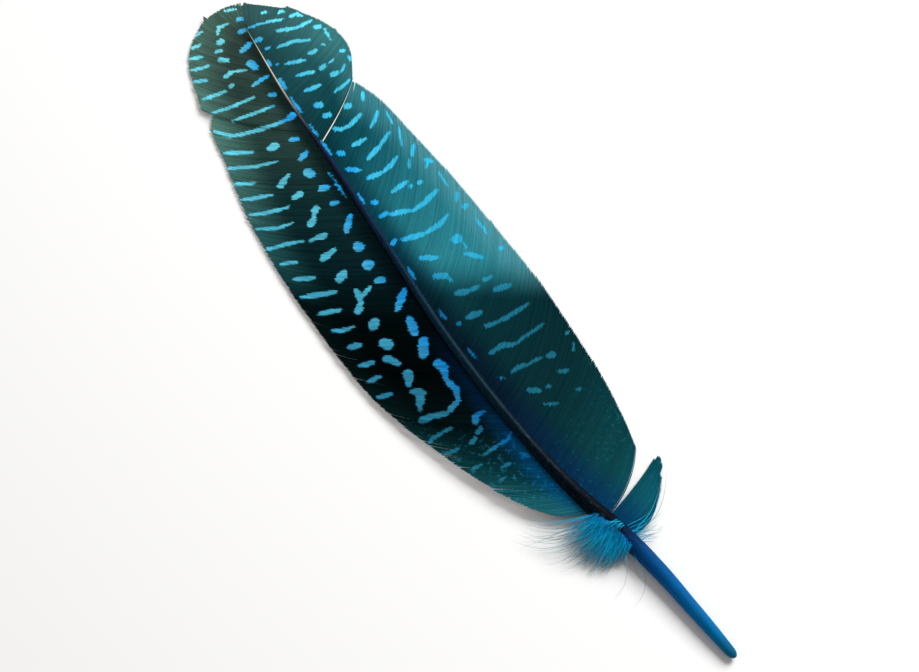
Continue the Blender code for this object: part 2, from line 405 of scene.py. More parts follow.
# Marks: thickness, then root station and distance along the barb for each point of the middle line
LEFT_MARKS = (
    # bars at the edge of the tip lobe, with a second and a third column inside them
    (0.8, 165.5, 18.9, 167.5, 16.5), (0.9, 162.5, 20.5, 164.5, 17.5), (0.9, 159.5, 22, 161.5, 18),
    (0.9, 156.3, 23, 159.5, 17), (1.0, 153, 23.8, 155, 19.5), (1.0, 148, 24, 153.3, 15.5),
    (0.9, 144.3, 23.6, 148.6, 16.4, 153.3, 8.5), (0.9, 144.1, 18.3, 147.8, 11.5, 151.4, 4.5),
    (1.0, 141.2, 24, 141, 20, 143, 12.5, 145.5, 7, 148.5, 1), (0.7, 174, 10, 175.5, 7),
    (0.9, 168.5, 12, 170.5, 11, 172.5, 8), (1.6, 167, 11.5, 167.4, 11), (0.9, 164.3, 13.3, 165, 11.8),
    (1.3, 162.3, 13, 162.8, 11), (1.2, 157.5, 14, 160, 10.5), (0.6, 160, 10.5, 161.5, 6.5),
    (1.0, 155.2, 13.4, 155.8, 12.5), (1.2, 175, 4.7, 175.8, 3.6), (1.3, 172.8, 3.8, 174, 2.4),
    (1.5, 167, 5.5, 170.5, 2), (1.7, 164, 4.6, 163, 3.8), (1.1, 157, 7, 161, 1.5),
    (1.1, 154.8, 3.8, 155.2, 2.4), (1.8, 149, 1.3, 148.4, 2),
    # round and drawn-out spots beside the shaft
    (1.2, 141.5, 5.2, 141.7, 3.8), (1.3, 136, 6, 138, 3.5), (1.9, 131.7, 5.6, 132.3, 6.1),
    (1.6, 127.7, 5.2, 127.9, 4.2), (1.2, 123.4, 4.9, 123.6, 3.9), (1.5, 120, 2.7, 115.5, 5.8),
    (2.2, 111.5, 4.9, 111.7, 5.1), (2.2, 106.5, 5.3, 106.8, 5.6), (1.4, 102.4, 5.6, 102.6, 4.4),
    (1.7, 99.3, 1.4, 94.8, 5.2), (1.9, 92, 4.1, 88.4, 4.8), (2.2, 86.2, 4.3, 83, 6),
    # the middle row
    (1.9, 139.3, 11, 139.7, 10), (1.8, 129, 13.9, 129.6, 13.2), (1.1, 129.5, 13.4, 131.5, 11),
    (1.5, 125.6, 12.4, 126.3, 10.8), (1.7, 122.3, 9.2, 121.9, 9.6), (1.0, 122.5, 9, 118.5, 12),
    (1.8, 118.8, 11.8, 118.4, 12.4), (0.9, 113.5, 15.2, 114.5, 12.8), (1.4, 114.6, 12.6, 115, 11),
    (1.7, 108.8, 14.4, 109.6, 13.2), (1.3, 109.6, 13.2, 111, 10.9), (2.1, 103.5, 13.4, 104.2, 12.4),
    (1.0, 104.2, 12.4, 105.2, 11.4), (1.2, 100, 11.6, 98, 11.8), (1.3, 98, 11.8, 95.2, 13.2),
    (1.0, 98.4, 11.2, 101, 7.8), (1.7, 95.4, 13.2, 94.8, 13.8), (2.3, 90.8, 12.6, 91.2, 12.2),
    (2.1, 86, 13, 85.4, 12.2), (1.4, 81.5, 15, 81.6, 14), (1.3, 81.5, 14, 80.3, 12.8),
    (2.0, 77.5, 12.7, 76.6, 12.8), (1.4, 76.6, 12.9, 74.8, 14), (1.5, 72.6, 14.6, 72.3, 12),
    (1.7, 72, 13.2, 69.6, 14.6), (1.1, 69.6, 14.6, 67.5, 16),
    # bars that run in from the edge, long and short in turn
    (0.9, 136.5, 23.9, 138, 16), (0.8, 132, 24.9, 133.5, 18, 135.5, 11.5), (0.9, 127.5, 25.9, 129, 20),
    (0.9, 123, 26.6, 126, 17.5), (0.9, 119, 26.6, 121, 20.5, 123, 15),
    (0.8, 115, 27.2, 116.5, 21, 118.5, 16.5), (0.9, 109, 27.6, 112, 21.5, 113.5, 16.5),
    (0.9, 105.2, 26.4, 107, 21.5), (1.0, 101.3, 25.4, 103, 19.5), (1.1, 96, 26.4, 99.5, 16.5),
    (1.0, 92, 24.4, 94.5, 18), (0.9, 87.5, 24, 88, 21.5, 90, 17.5), (1.3, 83.3, 22.4, 84.7, 18.9),
    (1.1, 78, 23, 80, 18.5), (1.0, 73, 24.2, 76, 19.5), (1.0, 68.2, 25, 71, 20),
    # a dash along the shaft, and the winding marks at the foot, which break up in speckles
    (0.5, 132, 1.5, 124.5, 1.3), (1.9, 80.3, 4.4, 79.2, 3.9), (1.3, 79.2, 3.8, 76, 5.3),
    (1.3, 76, 5.3, 73.5, 4.7, 70.5, 6), (1.2, 70.5, 6, 67, 10.5), (1.2, 67, 10.5, 65.5, 15),
    (1.6, 65.4, 15, 64, 17.8), (0.9, 57, 21, 59.5, 18, 61.4, 14.8), (0.9, 61.4, 14.8, 63, 12),
    (0.8, 55, 18.6, 57, 14.5), (1.4, 66, 5.4, 64.8, 5.8), (0.9, 66.5, 5, 67.5, 2.5),
    (1.0, 59, 10.6, 60.4, 8.8), (1.1, 62, 7.2, 63, 6), (0.8, 56, 9.8, 58.5, 5.5),
    (0.7, 58.5, 5.5, 60, 2.5, 62, 0.3), (0.7, 56.5, 2, 55.5, 0.7), (0.8, 53, 8, 54, 5.5),
    (0.7, 52, 15, 53.5, 12), (0.7, 49.5, 11, 50.6, 9),
)

# Each barb's own bit of a mark starts and ends a little before or after its neighbour's
MARK_STEP = 0.18
MARK_WAVER = 0.08
MARK_TRIM = 0.04
MARK_END_SHARE = 0.62


def vane_height(x, y, side):
    """Height of a vane: a rounded roof that comes down to the surface that the feather lies on."""
    reach = smooth(LEFT_REACH if side > 0 else RIGHT_REACH, x)
    out = np.minimum(np.abs(y - smooth(BOW, x)) / reach, 1)
    return EDGE_HEIGHT + (shaft_height(x) - EDGE_HEIGHT) * (1 - out**ROOF_ROUNDNESS) ** ROOF_LANDING


def barb_lines(side, table, bends, stations, shares, lift):
    """Points at some shares of the barbs that grow at some stations, as rows of (x, y, z)."""
    starts = np.stack([stations, smooth(BOW, stations) + side * half_width(stations) * SIDE_SHARE], -1)
    ends = np.stack([smooth(table, stations, 1), smooth(table, stations, 2)], -1)
    ends = starts + (ends - starts) * BARB_OVERHANG
    chord = ends - starts
    backward = np.stack([chord[:, 1], -chord[:, 0]], -1) * -side
    bend = np.tan(np.radians(smooth(bends, stations)))[:, None]
    middle = (starts + ends) / 2 + backward * bend / 2
    t = shares[None, :, None]
    ground = starts[:, None] * (1 - t) ** 2 + middle[:, None] * 2 * t * (1 - t) + ends[:, None] * t**2
    x, y = ground[..., 0], ground[..., 1]
    z = vane_height(x, y, side) + lift(stations)[:, None] * shares[None, :] ** LIFT_RISE
    return np.stack([x, y, z], -1)


def guide_sheet(name, side, stretches, splits=()):
    """The sheet that a vane's barbs lie in, with how far out each of its points is in millimetres."""
    shares = np.linspace(0, 1, GUIDE_COLUMNS)
    rows, roots = [], []
    for table, bends, lift in stretches:
        low, high = table[0][0], table[-1][0]
        stations = np.linspace(low, high, max(int((high - low) / GUIDE_ROW_STEP), 4))
        beside = [split[0] + gap for split in splits if low < split[0] < high for gap in (-0.02, 0.02)]
        stations = np.sort(np.concatenate([stations, beside]))
        lines = barb_lines(side, table, bends, stations, shares, lift)
        for station, width, start, spread, longer in splits:
            near = np.exp(-np.abs(stations - station) / spread)
            away = np.sign(stations - station) * near * width / 2
            past = np.where(stations < station, near * longer, 0)[:, None] * (shares**6)[None]
            opened = away[:, None] * np.clip((shares - start) / (1 - start), 0, 1)[None] ** 1.5
            run = np.gradient(lines[..., :2], axis=1)
            across = np.stack([run[..., 1], -run[..., 0]], -1) * side
            across /= np.linalg.norm(across, axis=-1, keepdims=True)
            lines[..., :2] += across * opened[..., None]
            lines[..., :2] += run / np.linalg.norm(run, axis=-1, keepdims=True) * past[..., None]
        if rows:
            stations[0] += 0.02
        rows.append(lines)
        roots.append(stations)
    lines, stations = np.concatenate(rows), np.concatenate(roots)
    gaps = np.linalg.norm(np.diff(lines, axis=1), axis=-1)
    along = np.concatenate([np.zeros((len(lines), 1)), np.cumsum(gaps, axis=1)], 1)
    count = GUIDE_COLUMNS
    faces = [(r * count + c, r * count + c + 1, (r + 1) * count + c + 1, (r + 1) * count + c)
             for r in range(len(lines) - 1) for c in range(count - 1)]
    mesh = bpy.data.meshes.new(name)
    mesh.from_pydata(placed(lines.reshape(-1, 3)).tolist(), [], faces)
    layer = mesh.uv_layers.new(name="guide")
    root_share = (stations - stations[0]) / (stations[-1] - stations[0])
    for loop in mesh.loops:
        row, column = divmod(loop.vertex_index, count)
        layer.data[loop.index].uv = (root_share[row], shares[column])
    for label, values in (("station", np.repeat(stations, count)), ("along", along.ravel()),
                          ("rim", (along[:, -1:] - along).ravel())):
        mesh.attributes.new(label, "FLOAT", "POINT").data.foreach_set("value", values.astype(np.float32))
    return mesh, stations[-1] - stations[0]


def named(tree, label, kind="FLOAT"):
    """A value that the geometry holds under a name."""
    return node(tree, "GeometryNodeInputNamedAttribute", label, data_type=kind)


def stored(geometry, label, value, kind="FLOAT", domain="POINT"):
    """The geometry with a value kept on it under a name."""
    tree = geometry.socket.id_data
    return node(tree, "GeometryNodeStoreNamedAttribute", geometry, None, label, value,
                data_type=kind, domain=domain)


def ended(geometry, unneeded, smooth, given, leave):
    """Ends a tree: working values off, shading set, instances made real and the material put on."""
    tree = geometry.socket.id_data
    for label in unneeded:
        geometry = node(tree, "GeometryNodeRemoveAttribute", geometry, label)
    geometry = node(tree, "GeometryNodeSetShadeSmooth", geometry, None, smooth)
    geometry = node(tree, "GeometryNodeRealizeInstances", geometry)
    feed(leave.inputs, (node(tree, "GeometryNodeSetMaterial", geometry, None, given["Material"]),))
    return tree


def barb_tree():
    """Lays barbs side by side on a guide sheet: four-sided blades that taper at the vane's edge."""
    tree, given, leave = new_group(
        "vane barbs", "GeometryNodeTree",
        (("Guide", "NodeSocketGeometry", None), ("Barbs", "NodeSocketInt", 200),
         ("Steps", "NodeSocketInt", 44), ("Width", "NodeSocketFloat", 1.2),
         ("Widest", "NodeSocketFloat", 0.0005),
         ("Ridge", "NodeSocketFloat", 0.00006), ("Shingle", "NodeSocketFloat", 0.00004),
         ("Ripple", "NodeSocketFloat", 0.0003), ("Fray", "NodeSocketFloat", 0.016),
         ("Clump", "NodeSocketFloat", 0.004), ("Seed", "NodeSocketInt", 1),
         ("Material", "NodeSocketMaterial", None)),
        (("Barbs", "NodeSocketGeometry"),),
    )

    def sampled(value, root, share, kind="FLOAT_VECTOR"):
        root = math("MINIMUM", math("MAXIMUM", root, INSIDE), 1 - INSIDE)
        share = math("MINIMUM", math("MAXIMUM", share, INSIDE), 1 - INSIDE)
        return node(tree, "GeometryNodeSampleUVSurface", given["Guide"], value,
                    named(tree, "guide", "FLOAT_VECTOR"), vector(tree, root, share), data_type=kind)

    def chance(seed_step):
        return node(tree, "FunctionNodeRandomValue", 0.0, 1.0, named(tree, "barb"),
                    given["Seed"] + seed_step, data_type="FLOAT")

    blade = node(tree, "GeometryNodeMeshCylinder", 4, given["Steps"], 1, 1.0, 1.0)
    line = node(tree, "GeometryNodeMeshLine", given["Barbs"], (0, 0, 0), (0, 0, 0))
    barbs = node(tree, "GeometryNodeInstanceOnPoints", line, None, blade)
    barbs = stored(barbs, "barb", node(tree, "GeometryNodeInputIndex"), "FLOAT", "INSTANCE")
    barbs = node(tree, "GeometryNodeRealizeInstances", barbs)
    barbs = stored(barbs, "section", node(tree, "GeometryNodeInputPosition"), "FLOAT_VECTOR", "POINT")

    across, up, share = parts_of(named(tree, "section", "FLOAT_VECTOR"))
    share = share + 0.5
    number = named(tree, "barb")
    reach = 1.0 - given["Fray"] * chance(1) ** 3.0
    out = math("MINIMUM", math("MAXIMUM", share * reach, INSIDE), 1 - INSIDE)
    wander = noise(tree, 0.35, 2.0, W=number) - 0.5
    root = (number + 0.5) / given["Barbs"] + wander * given["Clump"] * out ** 4.0
    root = math("MINIMUM", math("MAXIMUM", root, INSIDE), 1 - INSIDE)

    position = node(tree, "GeometryNodeInputPosition")
    here = sampled(position, root, out)
    run = sampled(position, root, out + PROBE_ALONG) - sampled(position, root, out - PROBE_ALONG)
    run = math("NORMALIZE", run)
    pitch = sampled(position, root + PROBE_ACROSS, out) - sampled(position, root - PROBE_ACROSS, out)
    sideways = pitch - scaled(run, math("DOT_PRODUCT", pitch, run))
    half = math("LENGTH", sideways) / (4 * PROBE_ACROSS * given["Barbs"])
    half = math("MINIMUM", half * given["Width"], given["Widest"])
    sideways = math("NORMALIZE", sideways)
    face_up = math("NORMALIZE", math("CROSS_PRODUCT", sideways, run))
    face_up = scaled(face_up, math("SIGN", parts_of(face_up)[2]))

    taper = math("MAXIMUM", math("MINIMUM", (1.0 - share) / TAPERED_SHARE, 1.0) ** 0.7, BLUNT_END)
    wide = half * taper * (chance(2) * 0.3 + 0.85)
    rise = up * given["Ridge"] * taper * (chance(3) * 0.8 + 0.6) + across * given["Shingle"] * taper
    ripple = noise(tree, 0.12, 3.0, W=number) * given["Ripple"] * out ** 2.0
    rise = rise + ripple + chance(4) * given["Ripple"] * 0.12
    moved = here + scaled(sideways, across * wide) + scaled(face_up, rise)

    under = node(tree, "GeometryNodeFieldOnDomain", up, domain="FACE", data_type="FLOAT")
    under = math("LESS_THAN", under, 0.0)
    root_at, along_at, rim_at = (sampled(named(tree, label), root, out, "FLOAT")
                                 for label in ("station", "along", "rim"))
    row = (number + 0.25 + under * 0.5 + across * 0.2) / given["Barbs"]
    for label, u, v in (("barbs", root_at, along_at), ("rims", rim_at, chance(5) + under * 2.0),
                        ("OFBake", share, row)):
        barbs = stored(barbs, label, vector(tree, u, v), "FLOAT2", "CORNER")
    barbs = node(tree, "GeometryNodeSetPosition", barbs, None, moved)
    return ended(barbs, ("barb", "section"), False, given, leave)


def grown(guide, tree, name, **sizes):
    """The tree's result on a guide, with its inputs set by name, as a plain mesh."""
    carrier = bpy.data.objects.new(name, guide)
    bpy.context.scene.collection.objects.link(carrier)
    modifier = carrier.modifiers.new(name, "NODES")
    modifier.node_group = tree
    items = [item for item in tree.interface.items_tree if item.in_out == "INPUT"]
    identifiers = {item.name: item.identifier for item in items}
    for label, value in sizes.items():
        modifier[identifiers[label]] = value
    evaluated = carrier.evaluated_get(bpy.context.evaluated_depsgraph_get())
    mesh = bpy.data.meshes.new_from_object(evaluated)
    mesh.name = name
    carrier.modifiers.remove(modifier)
    bpy.data.objects.remove(carrier)
    bpy.data.meshes.remove(guide)
    return mesh


def mark_points(side, stretches, mark):
    """A mark's middle line on the ground, from its stations and distances along the barbs."""
    line = []
    shares = np.linspace(0, 1, GUIDE_COLUMNS)
    for station, along in zip(mark[1::2], mark[2::2]):
        stretch = next((s for s in stretches if s[0][0][0] <= station <= s[0][-1][0]), stretches[-1])
        points = barb_lines(side, stretch[0], stretch[1], np.array([float(station)]), shares, stretch[2])[0]
        run = np.concatenate([[0], np.cumsum(np.linalg.norm(np.diff(points, axis=0), axis=1))])
        line.append([np.interp(along, run, points[:, k]) for k in (0, 1)])
    return np.array(line if len(line) > 1 else line * 2)


def paint_marks(mesh, side, stretches, marks, steps, seed):
    """Stores how many millimetres deep in a mark each point lies, with each barb's bit shifted a little."""
    count = len(mesh.vertices)
    points = np.empty(count * 3, np.float32)
    mesh.vertices.foreach_get("co", points)
    middles = ((points.reshape(-1, 3) - placed((0, 0, 0))) / MM).reshape(-1, steps + 1, 4, 3).mean(axis=2)
    chance = np.random.default_rng(seed)
    shifts = chance.uniform(-MARK_STEP, MARK_STEP, len(middles))
    waver = chance.uniform(-MARK_WAVER, MARK_WAVER, len(middles))
    run = np.gradient(middles[..., :2], axis=1)
    run /= np.maximum(np.linalg.norm(run, axis=-1, keepdims=True), 1e-6)
    at = middles[..., :2] + run * shifts[:, None, None]
    depth = np.full(at.shape[:2], -9.0)
    for mark in marks:
        line = mark_points(side, stretches, mark)
        run_up = np.concatenate([[0], np.cumsum(np.linalg.norm(np.diff(line, axis=0), axis=1))])
        for start, end, before, after in zip(line, line[1:], run_up, run_up[1:]):
            leg = end - start
            share = np.clip(((at - start) @ leg) / max(leg @ leg, 1e-6), 0, 1)
            gap = np.linalg.norm(at - start - share[..., None] * leg, axis=-1)
            along = (before + share * (after - before)) / max(run_up[-1], 1e-6)
            body = np.clip(run_up[-1] / mark[0] - 1, 0, 1) * (1 - MARK_END_SHARE)
            thick = mark[0] * (1 - body + body * np.sin(pi * along) ** 0.8 * 1.15)
            depth = np.maximum(depth, thick / 2 - gap - MARK_TRIM)
    depth = np.repeat(np.clip(depth + waver[:, None], -2, 2)[:, :, None], 4, 2)
    kept = mesh.attributes.new("marks", "FLOAT", "POINT")
    kept.data.foreach_set("value", depth.ravel().astype(np.float32))


def barb_tone():
    """Tints a barb: each a little lighter or darker than its neighbour, with streaks and barbule grain."""
    group, given, leave = new_group(
        "barb tone", "ShaderNodeTree",
        (("Colour", "NodeSocketColor", None), ("Along", "NodeSocketFloat", 0.0),
         ("Chance", "NodeSocketFloat", 0.0), ("Contrast", "NodeSocketFloat", 0.3),
         ("Grain", "NodeSocketFloat", 0.1)),
        (("Colour", "NodeSocketColor"), ("Height", "NodeSocketFloat"), ("Roughness", "NodeSocketFloat")),
    )
    streak = noise(group, 1.0, 3.0, Vector=vector(group, given["Along"] * 0.35, given["Chance"] * 97.0))
    grain = noise(group, 1.0, 1.0, Vector=vector(group, given["Along"] * 6.0, given["Chance"] * 31.0))
    shade = (given["Chance"] - 0.5) * given["Contrast"] + (streak - 0.5) * given["Contrast"] * 1.4 + 1.0
    shade = math("MAXIMUM", shade + (grain - 0.5) * given["Grain"], 0.1)
    feed(leave.inputs, (scaled(given["Colour"], shade), grain, streak * 0.2 + 0.42))
    return group


BARB_TONE = barb_tone()
BARB_TREE = barb_tree()


def vane_material(name, body, inner, rim, marks, inner_marks, inner_reach, rim_reach, contrast, speckled,
                  pale_ends_and_sheen, foot=None):
    """Dyed barbs: body colours by station, others beside the shaft and at the edge, and the marks."""
    material, tree = new_material(name)
    station, along, _ = parts_of(node(tree, "ShaderNodeUVMap", uv_map="barbs"))
    from_rim, chance, _ = parts_of(node(tree, "ShaderNodeUVMap", uv_map="rims"))
    chance = chance - math("GREATER_THAN", chance, 1.5) * 2.0
    place = station / FEATHER_LENGTH
    away = between(along, *inner_reach)
    colour = blended(away, ramp(place, *inner), ramp(place, *body))
    # Edge colours: partly the barbs' own paler ends, partly painted sheen and light shining through the
    # thin edge
    colour = blended(between(from_rim, *rim_reach), ramp(place, *rim), colour)
    # Marks lighten towards the barb ends at the edge: partly their own paler ends, partly painted sheen
    mark_sheen_and_shade = 1.0 + (1.0 - between(from_rim, 1.0, 9.0)) * pale_ends_and_sheen
    # Where a foot is given, barbs below a slanting line take darker colours and dimmer marks: partly the
    # vane's own darker base, partly painted shade
    if foot:
        foot_body, foot_inner, foot_marks, slant, low, high = foot
        dark = blended(away, ramp(place, *foot_inner), ramp(place, *foot_body))
        above = between(station + along * slant, low, high)
        colour = blended(above, dark, colour)
        mark_sheen_and_shade = mark_sheen_and_shade * (above * (1.0 - foot_marks) + foot_marks)
    depth = tree.nodes.new("ShaderNodeAttribute")
    depth.attribute_name = "marks"
    solid_place = node(tree, "ShaderNodeTexCoord", out=3)
    mottle = noise(tree, 900.0, 2.0, Vector=solid_place) - 0.5
    inside = between(Flow(depth.outputs["Fac"]) + mottle * 0.35, -0.19, 0.15)
    mark = scaled(blended(between(along, 2.0, 9.0), ramp(place, *inner_marks), ramp(place, *marks)), mark_sheen_and_shade)
    speckle = between(noise(tree, 1100.0, 2.0, Vector=solid_place), 0.56, 0.70)
    speckle = speckle * between(station, speckled[1], speckled[0]) * speckled[2]
    colour = blended(inside, blended(speckle, colour, mark), mark)
    tone = placed_group(tree, BARB_TONE, Colour=colour, Along=along, Chance=chance, Contrast=contrast,
                        Grain=0.16)
    relief = bumped(tone["Height"], 0.15, 0.00003)
    return painted(material, tone["Colour"], tone["Roughness"], 0.015, relief)


def flat(stations):
    """No lift over the vane's own height."""
    return np.zeros_like(stations)


def left_lobe_lift(stations):
    """The left lobe laps over the vane below it, and its last barbs cross over the shaft's tip."""
    return 0.6 * np.exp(-(stations - 144) / 5) + 0.3 * np.clip((stations - 170) / 6, 0, 1)


LEFT_STRETCHES = ((LEFT_VANE, BEND, flat), (LEFT_LOBE, LOBE_BEND, left_lobe_lift))
left_material = vane_material(
    "dark barbs",
    body=((0.21, 22, 108, 124), (0.27, 9, 62, 72), (0.34, 3, 22, 25), (0.42, 0, 6, 7),
          (0.50, 0, 13, 14), (0.57, 8, 39, 45), (0.68, 20, 53, 55), (0.80, 52, 80, 73),
          (0.90, 50, 70, 64), (1.0, 48, 66, 60)),
    inner=((0.21, 3, 100, 146), (0.29, 2, 74, 118), (0.37, 0, 34, 62), (0.48, 0, 9, 14),
           (0.58, 2, 18, 22), (0.68, 6, 26, 28), (0.85, 22, 42, 38), (1.0, 34, 52, 47)),
    rim=((0.21, 40, 124, 136), (0.28, 16, 74, 80), (0.34, 6, 34, 36), (0.42, 2, 20, 21),
         (0.51, 3, 22, 24), (0.56, 32, 84, 88), (0.62, 50, 104, 106), (0.78, 88, 134, 123),
         (0.88, 80, 114, 102), (1.0, 64, 98, 90)),
    marks=((0.22, 36, 124, 146), (0.33, 38, 130, 164), (0.42, 60, 164, 206), (0.55, 88, 208, 242),
           (0.75, 108, 222, 246), (0.88, 116, 228, 244), (1.0, 140, 232, 242)),
    inner_marks=((0.22, 20, 116, 170), (0.34, 10, 118, 196), (0.42, 14, 142, 226),
                 (0.55, 30, 164, 242), (0.75, 34, 172, 246), (1.0, 60, 186, 240)),
    inner_reach=(1.0, 6.0), rim_reach=(0.5, 12.0), contrast=0.4, speckled=(46.0, 68.0, 0.75),
    pale_ends_and_sheen=0.1,
)
sheet, spread = guide_sheet("left guide", 1, LEFT_STRETCHES, LEFT_SPLITS)
left_barbs = grown(sheet, BARB_TREE, "left_vane", Barbs=int(spread / BARB_PITCH), Steps=BARB_STEPS, Seed=11,
                   Ridge=0.00004, Material=left_material)
paint_marks(left_barbs, 1, LEFT_STRETCHES, LEFT_MARKS, BARB_STEPS, seed=3)
left_vane = finished(left_barbs, "left_vane")

# The right vane is the narrower, paler one, of the same kind of barbs: its pale teal is partly its own
# colour and partly painted sheen and light shining through the thin vane, and its darker foot is partly
# painted shade. It has split twice: its tip lobe stands over the vane below it, and a lock at its foot
# has come loose. Its marks are arcs that run in from the edge.
RIGHT_LOCK = ((31.2, 34.6, -6.8), (32.7, 37.5, -10.3), (34.2, 40.0, -12.4), (35.8, 42.0, -13.5),
              (37.3, 42.9, -12.9))
LOCK_BEND = ((31.2, 24), (34, 16), (37.3, 4))
RIGHT_VANE = ((37.3, 46.4, -10.6), (44.8, 54.0, -12.7), (52, 63.0, -14.4), (60, 75.0, -15.7),
              (70, 88.5, -16.7), (82, 104.0, -16.6), (95, 119.0, -16.3), (108, 132.5, -15.4),
              (120, 142.5, -14.7), (130, 147.6, -13.7), (136, 150.6, -12.5), (140, 153.4, -10.9))
RIGHT_LOBE = ((140, 151.8, -11.8), (144, 155.5, -14.1), (149, 159.0, -15.9), (155, 163.4, -16.5),
              (161, 168.9, -15.3), (166, 173.2, -12.9), (169.2, 175.7, -11.3), (171.2, 177.6, -9.0),
              (173.5, 180.8, -5.5), (176, 183.6, -1.1))
RIGHT_SPLITS = ((137.2, 0.35, 0.02, 1.0, 0.0), (124.0, 0.08, 0.9, 1.2, 0.3), (98.0, 0.1, 0.88, 1.5, 0.3),
                (84.0, 0.1, 0.88, 1.5, 0.35), (71.0, 0.07, 0.88, 2.0, 0.2), (55.0, 0.06, 0.88, 2.0, 0.2),
                (158.0, 0.1, 0.9, 1.0, 0.3), (170.4, 0.1, 0.9, 0.9, 0.8), (175.0, 0.1, 0.85, 0.5, 1.0))
LOBE_SPLIT = 140.0
LOBE_LIFT = 1.1
LOBE_SETTLES = 14.0

RIGHT_MARKS = (
    # the tip lobe: slanting bars, spots near the edge, and dashes beside the shaft
    (0.7, 175, 1.5, 172, 6), (0.8, 172, 6, 169.5, 10.5), (0.8, 172.7, 8, 172.3, 9),
    (0.9, 170.7, 11, 170.3, 12), (1.0, 168.5, 12.5, 167.5, 14.5, 166, 15.5), (1.1, 169, 7, 165.5, 12),
    (0.9, 165.5, 12, 163.5, 17), (1.0, 166, 4.5, 164, 9, 161, 13.5), (1.3, 171.6, 0.9, 171.2, 1.7),
    (1.0, 168, 2, 167.8, 2.4), (0.9, 165.4, 0.5, 164.2, 0.5), (0.6, 163, 1.8, 162.8, 2.4),
    (1.0, 161.5, 4, 158.5, 9), (1.1, 157, 5, 154.5, 9.5), (1.0, 159.8, 0.6, 156.5, 0.6),
    (1.1, 152.5, 4.5, 150.5, 9), (0.7, 154, 0.5, 149, 0.6), (1.7, 147.2, 5.2, 146.6, 6),
    (1.5, 143.2, 5.7, 142.6, 6.6), (0.7, 145.5, 0.5, 142, 0.6), (0.7, 140.5, 0.5, 136, 0.6),
    (1.3, 161.6, 17.2, 161.2, 17.9), (0.6, 157.6, 15.8, 157.2, 16.4), (1.1, 158.6, 11.4, 158, 13.2),
    (1.1, 153.6, 11.5, 153.4, 13.2), (0.6, 153, 14.5, 152.5, 16.5), (1.4, 149.3, 14, 148.7, 15.2),
    (0.5, 160, 18.8, 156.5, 18.5), (1.0, 152.2, 19.6, 151.6, 20.2), (0.8, 148, 21.2, 146.4, 21.4),
    (0.6, 147.8, 19, 147.4, 16.5), (0.9, 145, 12, 141.5, 19),
    # arcs of the vane, long and short in turn, with combs of barbs beside the shaft
    (1.5, 137.6, 14.3, 137.2, 15.3), (1.3, 138.2, 6.4, 137, 7.6), (1.0, 137, 7.6, 135, 10.9, 132.5, 17.5),
    (0.8, 133.8, 22.8, 133, 21), (1.2, 131.5, 8, 128.5, 13.4), (1.6, 134, 3, 133.6, 3.4),
    (0.9, 127.5, 18, 126.5, 21, 125.5, 25), (0.5, 121, 29, 117.5, 28.5), (1.2, 125.5, 10, 122.5, 17),
    (0.9, 122.5, 17, 119, 25), (0.6, 115, 30, 114, 25.5), (1.3, 130.5, 1.7, 126.5, 5.5),
    (1.3, 123.5, 6, 119.5, 12), (1.0, 119.5, 12, 117, 17, 115.5, 21), (0.9, 109, 31, 110, 26.5),
    (0.6, 111, 24.5, 111, 22), (1.1, 105, 30.5, 102.5, 32.5), (0.7, 105, 28, 104, 31),
    (0.7, 124.5, 0.5, 121.5, 0.6), (1.4, 119.2, 3.3, 118.8, 3.8), (1.1, 115, 10.5, 113, 14.5, 111, 18),
    (0.9, 109.6, 17.8, 109.4, 18.4), (1.2, 107.2, 21.7, 106.6, 22.5), (1.2, 116, 2.5, 114.5, 5),
    (1.3, 113.5, 5.5, 110.5, 9.5, 107.5, 13), (1.2, 107.5, 13, 104.5, 18.5, 101, 26),
    (0.6, 100.5, 31.5, 97.5, 30.5), (0.6, 94.5, 32, 94.5, 29), (1.3, 92.2, 30, 91.6, 31),
    (1.0, 110, 0.6, 109.5, 2.4), (1.4, 108, 4, 105, 8, 102.5, 11.5), (1.1, 102.5, 11.5, 99, 18, 97, 23),
    (0.7, 88.5, 30.5, 84.5, 30), (2.0, 93.7, 19, 93.2, 20.2), (0.6, 91.6, 20.6, 90, 20.5),
    (1.4, 90, 19, 85.5, 22.5), (1.4, 101.5, 5.5, 97, 10.5), (1.1, 80.8, 29.6, 80.2, 30.4),
    (0.9, 103.5, 0.6, 100.5, 0.7), (1.6, 96, 6, 93.5, 9), (1.0, 93.5, 9, 91.5, 9.5),
    (1.5, 89.5, 8, 86.5, 12), (1.1, 86.5, 12, 84.5, 15.5), (1.0, 84, 17.5, 82, 21),
    (1.5, 80.5, 18.5, 77, 23.5), (0.8, 91.7, 1.3, 89, 1.5), (0.9, 86, 3.2, 85.6, 3.8),
    (1.5, 84.5, 6.5, 82, 11), (1.2, 79.5, 9.5, 78.5, 11),
    (1.0, 78.5, 11, 76.5, 14.5, 73.5, 20.5, 71.8, 23.8), (0.7, 81, 1.6, 78, 1.8),
    (0.9, 76.2, 5.6, 75.6, 6.6), (1.3, 75.6, 6.8, 74.4, 9.5, 71.8, 12.6),
    (0.8, 71.8, 12.6, 70.6, 16, 68.5, 20, 67.2, 23.2), (0.6, 72, 3, 70.5, 4.5),
    (1.0, 70, 6.7, 69, 9, 67.5, 11.5), (0.8, 67.6, 11.2, 66.5, 13.5, 65.3, 15.6),
    (1.5, 63.7, 17.6, 63.2, 18.5), (1.1, 60.5, 16.5, 59, 18.5), (1.3, 65, 6.8, 62.5, 9.2),
    (0.8, 61.8, 11, 61.2, 12), (0.8, 60.5, 7.5, 58, 10.5), (0.8, 55.7, 16.6, 55.2, 17.4),
    (0.6, 61.5, 25.5, 61, 27), (0.5, 59.5, 25.4, 59, 23.6),
)


def lobe_lift(stations):
    """How far the tip lobe stands over the vane below it, most at the split."""
    return LOBE_LIFT * np.exp(-(stations - LOBE_SPLIT) / LOBE_SETTLES)


